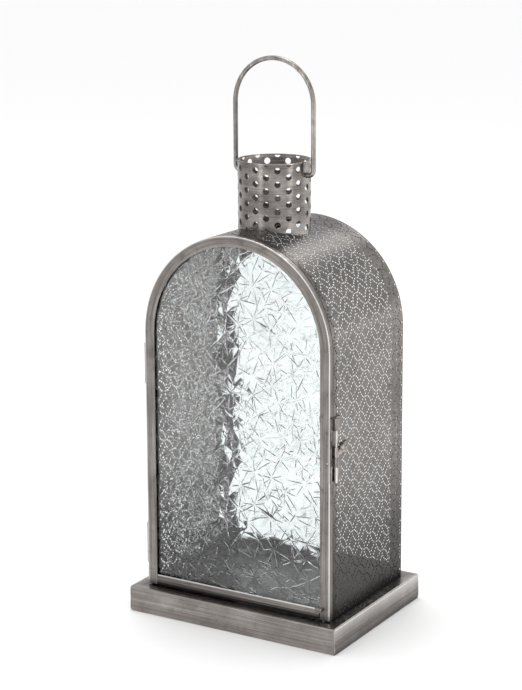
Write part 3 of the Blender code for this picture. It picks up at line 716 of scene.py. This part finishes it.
chimneyStrip = {
    "columns": 20,
    "drift": 8.0,  # degrees that the columns run on, across the side behind the bail
    "pitch": 11.2 * mm,
    "hole": 5.4 * mm,
    "holeSides": 20,
    "fromRim": 11.5 * mm,  # the holes that carry the bail
    "sheet": 0.6 * mm,
    "before": 8.0,  # degrees from the strip's start to its first column
    "lap": 9.5,  # degrees past the first column where it ends
    "lapStep": 0.75 * mm,
    "slip": 1.6 * mm,  # how far the holes miss each other in the lap
    "gap": 0.25 * mm,  # above the roof
    "sides": 128,
}
# rolled rim that closes the cut holes: mm out from the chimney's radius, and mm down from its top
rimSection = ((-0.85, 1.1), (0.05, 1.1), (0.12, 0.35), (-0.1, 0.0), (-0.7, 0.0), (-0.92, 0.35))
rimSides = 96


def chimneyHoles(radius, step):
    look = chimneyStrip
    bailZ = chimneyHigh.z - look["fromRim"]
    holes = []
    for column in range(look["columns"] + 1):
        lap = column == look["columns"]
        turn = column * step + math.radians(look["drift"]) * max(0.0, math.sin(column * step))
        z = bailZ + look["pitch"] * (1 if column % 2 == 0 else 0.5)
        while z > springZ + 0.8 * halfWidth:
            slip = look["slip"] if lap and abs(z - bailZ) > 1 * mm else 0.0
            holes.append((turn * radius, z + slip, look["hole"] / 2, look["hole"] / 2, look["holeSides"]))
            z -= look["pitch"]
    return holes


def buildChimney():
    radius, top = chimneyHigh.x, chimneyHigh.z
    look = chimneyStrip
    step = 2 * math.pi / look["columns"]
    start, end = -math.radians(look["before"]), 2 * math.pi + math.radians(look["lap"])

    def foot(turn):
        return springZ + np.sqrt((halfWidth + look["gap"]) ** 2 - (radius * np.cos(turn)) ** 2)

    holes = chimneyHoles(radius, step)
    turns = [start + (end - start) * i / look["sides"] for i in range(look["sides"] + 1)]
    outline = [(t * radius, foot(t)) for t in turns] + [(t * radius, top) for t in reversed(turns)]
    guides = []
    for column in range(2 * look["columns"]):
        guides += [((column + 0.5) * step / 2 * radius, foot(0) + 4 * mm + 3.1 * mm * k) for k in range(22)]
    clear = [g for g in guides if g[1] < top - 1 * mm and foot(g[0] / radius) + 1 * mm < g[1]
             and all(math.hypot(g[0] - h[0], g[1] - h[1]) > h[2] + 0.4 * mm for h in holes)]

    def inside(middle):
        turn, z = middle[:, 0] / radius, middle[:, 1]
        return (turn > start) & (turn < end) & (z < top) & (z > foot(turn) - 0.02 * mm)

    def roll(points):
        turn = points[:, 0] / radius
        lift = np.clip((turn - end + math.radians(look["lap"] + 12)) / math.radians(10), 0, 1)
        outwards = radius - look["lapStep"] * (1 - lift * lift * (3 - 2 * lift))
        way = np.stack([np.cos(turn), np.sin(turn), 0 * turn], 1)
        place = way * outwards[:, None] + np.stack([0 * turn, 0 * turn, points[:, 1]], 1)
        return place, place - way * look["sheet"], way

    points, tris = pierce(outline, holes, clear, inside)
    mesh = sheetMesh("punchedChimney", points, tris, roll)
    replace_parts(newPiece("punchedChimney", mesh, "lantern", tubeMetal), "chimney")
    mesh.materials.append(insideMetal)
    for face in mesh.polygons:
        facing = face.normal.x * face.center.x + face.normal.y * face.center.y
        face.material_index = int(len(face.vertices) == 3 and facing < 0)
    rings = []
    for i in range(rimSides):
        turn = 2 * math.pi * i / rimSides
        section = [(radius + out * mm, top - down * mm) for out, down in rimSection]
        rings.append([(r * math.cos(turn), r * math.sin(turn), z) for r, z in section])
    rim = ringMesh("chimneyRim", rings, True)
    newPiece("chimneyRim", rim, "lantern", rimMetal, 50)


# bail: round wire, each end bent in through a chimney hole

bailWire = {"wire": 4.0 * mm, "elbow": 4.5 * mm, "sides": 16, "end": 3.5 * mm, "wallToEnd": 1.0 * mm}


def buildBail():
    look = bailWire
    radius = look["wire"] / 2
    span = bailHigh.x - radius
    axisZ = chimneyHigh.z - chimneyStrip["fromRim"]
    bowZ = bailHigh.z - radius - span  # where the legs end and the bow begins
    tip = chimneyHigh.x - look["wallToEnd"] - look["end"]
    corner = span - look["elbow"]
    right = [(tip, 0.0), (tip + 0.5 * mm, 0.0), (tip + 3 * mm, 0.0)]
    for i in range(9):
        turn = math.pi / 2 * (i / 8 - 1)
        right.append((corner + look["elbow"] * math.cos(turn), look["elbow"] * (1 + math.sin(turn))))
    leg = bowZ - axisZ
    right += [(span, look["elbow"] + (leg - look["elbow"]) * k / 5) for k in range(1, 5)]
    bow = [(span * math.cos(math.pi * i / 48), leg + span * math.sin(math.pi * i / 48)) for i in range(49)]
    left = [(-x, z) for x, z in reversed(right)]
    path = [(x, 0.0, axisZ + z) for x, z in right + bow + left]
    last = len(path) - 1

    def thickness(share):
        return radius * (0.72 if share * last < 0.5 or share * last > last - 0.5 else 1.0)

    mesh = ringMesh("roundBail", sweep(path, thickness, look["sides"]))
    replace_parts(newPiece("roundBail", mesh, "bail", wireMetal, 50), "bail_handle")


# crackle glass: flat facets between straight creases that burst from stars, and patches of small chips

crackle = {
    "repeat": 156 * mm,  # the roller's turn
    "stars": 17 * mm,
    "starTries": 3000,
    "rays": (4, 8),
    "rayLength": (8 * mm, 25 * mm),
    "patches": 30,
    "patchSize": (6 * mm, 14 * mm),
    "chips": 6.0 * mm,
    "chipTries": 9000,
    "chipped": 0.42,  # share of the chips' edges that are creased
    "crease": 1.35 * mm,
    "creaseDepth": 0.52 * mm,
    "facetLift": 0.8 * mm,
    "chipLift": 1.3 * mm,
    "thickness": 2.9 * mm,
}


def crackleMarks(seed, halfSpan):
    pick = random.Random(seed)
    look = crackle
    tall = look["repeat"]

    def between(one, other):  # the pattern starts again at its top
        rise = abs(one[1] - other[1])
        return math.hypot(one[0] - other[0], min(rise, tall - rise))

    def apart(spot, others, gap):
        return all(between(spot, other) > gap for other in others)

    stars = []
    for _ in range(look["starTries"]):
        spot = (pick.uniform(-halfSpan - 8 * mm, halfSpan + 8 * mm), pick.uniform(0, tall))
        if apart(spot, stars, look["stars"] * pick.uniform(0.7, 1.3)):
            stars.append((*spot, pick.uniform(-1, 0)))
    creases = []
    for x, z, _ in stars:
        turn = pick.uniform(0, 2 * math.pi)
        rays = pick.randint(*look["rays"])
        for k in range(rays):
            turn += 2 * math.pi / rays * pick.uniform(0.6, 1.4)
            start = pick.uniform(0, 1.0 * mm) if pick.random() < 0.6 else pick.uniform(1 * mm, 7 * mm)
            end = start + pick.uniform(*look["rayLength"]) * pick.uniform(0.5, 1.0)
            across, up = math.cos(turn), math.sin(turn)
            share = pick.uniform(0.65, 1.0)
            creases.append((x + across * start, z + up * start, x + across * end, z + up * end, share))
    patches = []
    for _ in range(look["patches"]):
        spot = (pick.uniform(-halfSpan, halfSpan), pick.uniform(0, tall))
        patches.append((*spot, pick.uniform(*look["patchSize"])))
    chips = []
    for _ in range(look["chipTries"]):
        spot = (pick.uniform(-halfSpan, halfSpan), pick.uniform(0, tall))
        loose = max(1.2 - math.hypot((spot[0] - x) / 1.3, spot[1] - z) / r for x, z, r in patches)
        if loose > 0.1 and apart(spot, chips, look["chips"] * pick.uniform(0.7, 1.2)):
            chips.append((*spot, pick.uniform(-1, 0)))
    repeats = (-1, 0, 1, 2)
    stars = [(x, z + tall * k, h, False) for x, z, h in stars for k in repeats]
    chips = [(x, z + tall * k, h, True) for x, z, h in chips for k in repeats]
    creases = [(a, b + tall * k, c, d + tall * k, s) for a, b, c, d, s in creases for k in repeats]
    return stars + chips, creases


def facetRise(points, faces, corners):  # planes between neighbouring stars and chips
    rise = np.zeros(len(points))
    slack = 1e-9
    for face in faces:
        a, b, c = (corners[i] for i in face)
        area = (b[0] - a[0]) * (c[1] - a[1]) - (b[1] - a[1]) * (c[0] - a[0])
        xs, zs = (a[0], b[0], c[0]), (a[1], b[1], c[1])
        box = (points[:, 0] > min(xs) - slack) & (points[:, 0] < max(xs) + slack)
        box &= (points[:, 1] > min(zs) - slack) & (points[:, 1] < max(zs) + slack)
        under = np.nonzero(box)[0]
        if abs(area) < 1e-12 or not len(under):
            continue
        px, pz = points[under, 0] - a[0], points[under, 1] - a[1]
        u = (px * (c[1] - a[1]) - pz * (c[0] - a[0])) / area
        v = ((b[0] - a[0]) * pz - (b[1] - a[1]) * px) / area
        hit = (u >= -1e-6) & (v >= -1e-6) & (u + v <= 1 + 1e-6)
        lifts = [k[2] * crackle["chipLift" if k[3] else "facetLift"] for k in (a, b, c)]
        rise[under[hit]] = (lifts[0] * (1 - u - v) + lifts[1] * u + lifts[2] * v)[hit]
    return rise


def grooveCut(points, creases):  # creases cut in as V grooves that run out at both ends
    cut = np.zeros(len(points))
    for ax, az, dx, dz, share in creases:
        length = math.hypot(dx, dz)
        s = ((points[:, 0] - ax) * dx + (points[:, 1] - az) * dz) / length ** 2
        t = abs((points[:, 0] - ax) * dz - (points[:, 1] - az) * dx) / length
        ends = np.clip(np.minimum(s / 0.2, (1 - s) / 0.28), 0, 1)
        groove = ends * np.clip(1 - t / (crackle["crease"] / 2 * share), 0, 1)
        cut = np.maximum(cut, np.where((s > 0) & (s < 1), groove * share, 0))
    return cut * crackle["creaseDepth"]


def paneMesh(name, seed, low, high, outerY, sign):
    look = crackle
    half = high.x
    arch = high.z - half
    pick = random.Random(seed + 7)
    spots, creases = crackleMarks(seed, half)
    bow = [math.pi * i / 64 for i in range(65)]
    outline = [(-half, low.z), (half, low.z)]
    outline += [(half * math.cos(turn), arch + half * math.sin(turn)) for turn in bow]

    def within(x, z, edge=2 * mm):
        if z < low.z + edge:
            return False
        return abs(x) < half - edge if z < arch else math.hypot(x, z - arch) < half - edge

    spots = [(x, z + low.z, h, chip) for x, z, h, chip in spots]
    creases = [(a, b + low.z, c, d + low.z, s) for a, b, c, d, s in creases]
    net = delaunay_2d_cdt([Vector(s[:2]) for s in spots], [], [], 0, 1e-9)
    corners = [spots[origin[0]] for origin in net[3]]
    seams = sorted({tuple(sorted(pair)) for face in net[2] for pair in zip(face, face[1:] + face[:1])})
    for i, j in seams:
        a, b = corners[i], corners[j]
        if a[3] and b[3] and pick.random() < look["chipped"]:
            reach = pick.uniform(0.6, 1.0)
            end = (a[0] + (b[0] - a[0]) * reach, a[1] + (b[1] - a[1]) * reach)
            creases.append((*a[:2], *end, pick.uniform(0.5, 0.95)))

    verts = [Vector(p) for p in outline]
    links = [(i, (i + 1) % len(outline)) for i in range(len(outline))]
    places = {}
    for i, corner in enumerate(corners):
        if within(*corner[:2]):
            places[i] = len(verts)
            verts.append(Vector(corner[:2]))
    links += [(places[i], places[j]) for i, j in seams if i in places and j in places]
    kept = []
    for ax, az, bx, bz, share in creases:
        if not (within(ax, az) and within(bx, bz)):
            continue
        one, two = Vector((ax, az)), Vector((bx, bz))
        along = two - one
        wide = Vector((-along.y, along.x)).normalized() * look["crease"] / 2 * share
        head, tail = one + along * 0.2, one + along * 0.72
        start = len(verts)
        verts += [one, head + wide, tail + wide * 0.8, two, tail - wide * 0.8, head - wide, head, tail]
        ring = ((0, 1), (1, 2), (2, 3), (3, 4), (4, 5), (5, 0), (0, 6), (6, 7), (7, 3))
        links += [(start + i, start + j) for i, j in ring]
        kept.append((ax, az, along.x, along.y, share))
    out = delaunay_2d_cdt(verts, links, [], 1, 1e-7)
    points = np.array([(p.x, p.y) for p in out[0]])
    rim = [next(k for k, origin in enumerate(out[3]) if i in origin) for i in range(len(outline))]
    depth = facetRise(points, net[2], corners) - grooveCut(points, kept)
    depth[rim] = 0
    count = len(points)
    front = [(x, outerY - sign * d, z) for (x, z), d in zip(points, depth)]
    back = [(x, outerY + sign * look["thickness"], z) for x, z in outline]
    faces = [tuple(face) for face in out[2]]
    for i, start in enumerate(rim):
        j = (i + 1) % len(rim)
        faces.append((start, rim[j], count + j, count + i))
    faces.append(tuple(count + i for i in range(len(rim))))
    mesh = bpy.data.meshes.new(name)
    mesh.from_pydata(front + back, [], faces)
    fixNormals(mesh)
    print(name, len(faces), "faces")
    return mesh


crackleGlass = {
    "clear": (0.93, 0.95, 0.955, 1),
    "deep": (0.885, 0.925, 0.93, 1),
    "doorFrost": 0.07,
    "rearFrost": 0.05,
    "cloud": 45.0,
    "seeds": 260.0,
    "relief": 0.15,
    "setBack": 0.05 * mm,  # behind the plain pane's face
}


def clearGlass(name, frost):
    glass = Finish(name)
    x, y, z = glass.place()
    where = glass.vector(x, y, z)
    cloud = glass.noise(where, crackleGlass["cloud"], 3.0, 0.5)
    seed = glass.noise(where, crackleGlass["seeds"], 2.0, 0.5)
    glass.set("Base Color", glass.blend(cloud, crackleGlass["clear"], crackleGlass["deep"]))
    glass.set("Roughness", frost * (0.7 + cloud * 0.6))
    glass.set("Transmission Weight", 1.0)
    glass.set("IOR", 1.47)
    glass.set("Normal", glass.bump(cloud * 0.7 + seed * 0.3, crackleGlass["relief"], 0.0004))
    return glass.material


def buildPanes():
    look = crackleGlass
    low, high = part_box("door_glass")
    mesh = paneMesh("doorPane", 11, low, high, low.y + look["setBack"], 1)
    glass = clearGlass("crackleDoorGlass", look["doorFrost"])
    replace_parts(newPiece("doorPane", mesh, "door", glass), "door_glass")
    low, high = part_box("rear_glass")
    mesh = paneMesh("rearPane", 29, low, high, high.y - look["setBack"], -1)
    glass = clearGlass("crackleRearGlass", look["rearFrost"])
    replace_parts(newPiece("rearPane", mesh, "lantern", glass), "rear_glass")


# small work: solder, welds, a folded tab, a rivet

smallWork = {
    "weld": 0.75 * mm,
    "weldIn": 0.55 * mm,  # from the plinth's sides
    "weldLumps": 5,
    "solder": 1.0 * mm,
    "solderLumps": 7,
    "rivet": 0.85 * mm,
    "rivetHeight": 0.6 * mm,
    "rivetIn": 2.0 * mm,  # from the door's side
    "rivetUp": 17.0 * mm,  # from the latch's foot
    "tab": (6.6 * mm, 4.8 * mm),
    "tabPast": 3.4 * mm,  # beyond the rail's end
}


def lumpyBead(seed, start, end, radius, lumps):  # a run of solder along a line, uneven, its ends closed
    pick = random.Random(seed)
    count = lumps * 6
    sizes = [pick.uniform(0.45, 1.0) for _ in range(lumps + 2)]
    path, widths = [], []
    for i in range(count + 1):
        share = i / count
        k = share * lumps
        low, part = int(min(k, lumps - 1)), k - int(min(k, lumps - 1))
        smooth = part * part * (3 - 2 * part)
        size = sizes[low] * (1 - smooth) + sizes[low + 1] * smooth
        taper = math.sqrt(max(1e-4, 1 - (2 * share - 1) ** 8))
        path.append(Vector(start).lerp(Vector(end), share))
        widths.append(radius * size * taper * (0.85 + 0.3 * math.sin(k * 2 * math.pi) ** 2))
    return sweep(path, lambda share: widths[round(share * count)], 10)


def dome(centre, way, radius, height, sides=16, rings=5):  # a rivet's head
    face = Vector(way).to_track_quat("Z", "Y")
    skins = []
    for r in range(rings + 1):
        angle = math.pi / 2 * r / rings
        size, up = max(radius * math.cos(angle), radius * 0.04), height * math.sin(angle)
        turns = [2 * math.pi * k / sides for k in range(sides)]
        spots = [Vector((size * math.cos(turn), size * math.sin(turn), up)) for turn in turns]
        skins.append([Vector(centre) + face @ spot for spot in spots])
    return skins


def buildWelds():
    look = smallWork
    inset, tall = look["weldIn"], plinthHigh.z
    corners = {"FrontRight": (1, -1), "FrontLeft": (-1, -1), "BackRight": (1, 1), "BackLeft": (-1, 1)}
    for name, (x, y) in corners.items():
        at = (x * (plinthHigh.x - inset), y * (plinthHigh.y - inset))
        seed = 3 + x + 2 * y
        bead = lumpyBead(seed, (*at, 1.0 * mm), (*at, tall - 0.8 * mm), look["weld"], look["weldLumps"])
        weld = ringMesh("plinthWeld", bead)
        newPiece("plinthWeld" + name, weld, "lantern", trayMetal, 60)


def buildSmallWork():
    look = smallWork
    buildWelds()
    railLow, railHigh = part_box("door_bottom_rail")
    length, width = look["tab"]
    x, y, z = railHigh.x + look["tabPast"], railLow.y, railHigh.z - 0.2 * mm
    foot = (x - length, y - 0.4 * mm, z - 1.0 * mm)
    middle = (x - length * 0.5, y - 0.9 * mm, z - 0.4 * mm)
    tip = (x, y - 0.7 * mm, z + 0.2 * mm)
    tab = ringMesh("railTab", sweep([foot, middle, tip], width / 2, 12, 0.45))
    newPiece("railTab", tab, "door", rimMetal, 50)
    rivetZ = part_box("latch_bracket")[0].z + look["rivetUp"]
    spot = (halfWidth - look["rivetIn"], doorLow.y - 0.02 * mm, rivetZ)
    rivet = ringMesh("latchRivet", dome(spot, (0, -1, 0), look["rivet"], look["rivetHeight"]))
    newPiece("latchRivet", rivet, "door", brightMetal, 50)
    for seed, place in ((6, "upper"), (5, "lower")):
        low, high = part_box("hinge_door_leaf_" + place)
        x, y = -halfWidth - 0.25 * mm, doorLow.y + 1.6 * mm
        start, end = (x, y, low.z + 2 * mm), (x, y, high.z - 2 * mm)
        solder = ringMesh("hingeSolder", lumpyBead(seed, start, end, look["solder"], look["solderLumps"]))
        newPiece("hingeSolder" + place.title(), solder, "door", fittingMetal, 60)


# kept metalwork: crisp rolled edges and its finish

edges = {
    "round": 0.28 * mm,
    "plinth": 0.9 * mm,
    "sharper": 40,  # degrees between two faces that meet in a rolled edge
}
finishes = {
    "base_plinth": trayMetal,
    "base_rivet": fittingMetal,
    "door_frame": frameMetal,
    "rear_frame": frameMetal,
    "door_jamb": frameMetal,
    "door_bottom_rail": railMetal,
    "rear_bottom_rail": railMetal,
    "hinge": fittingMetal,
    "latch": latchMetal,
    "latch_pin": brightMetal,
    "latch_lever": leverMetal,
    "door_glass_clip": fittingMetal,
    "rear_glass_clip": fittingMetal,
}


def dressKept():
    for name, cad in nodes.items():
        match = [start for start in finishes if name.startswith(start)]
        finish = finishes[max(match, key=len)] if match else fittingMetal
        cad.data.materials.clear()
        cad.data.materials.append(finish)
        if not match:
            continue
        weld = cad.modifiers.new("joinCorners", "WELD")
        weld.merge_threshold = 0.00001
        bevel = cad.modifiers.new("rollEdges", "BEVEL")
        bevel.width = edges["plinth" if name == "base_plinth" else "round"]
        bevel.segments = 3
        bevel.limit_method = "ANGLE"
        bevel.angle_limit = math.radians(edges["sharper"])
        bevel.use_clamp_overlap = True
        bevel.harden_normals = True


setCamera()
setStudio()
print("studio set")
buildShell()
print("shell pierced")
buildChimney()
buildBail()
print("chimney and bail made")
buildPanes()
print("panes crackled")
buildSmallWork()
dressKept()
print("small work and finishes done")
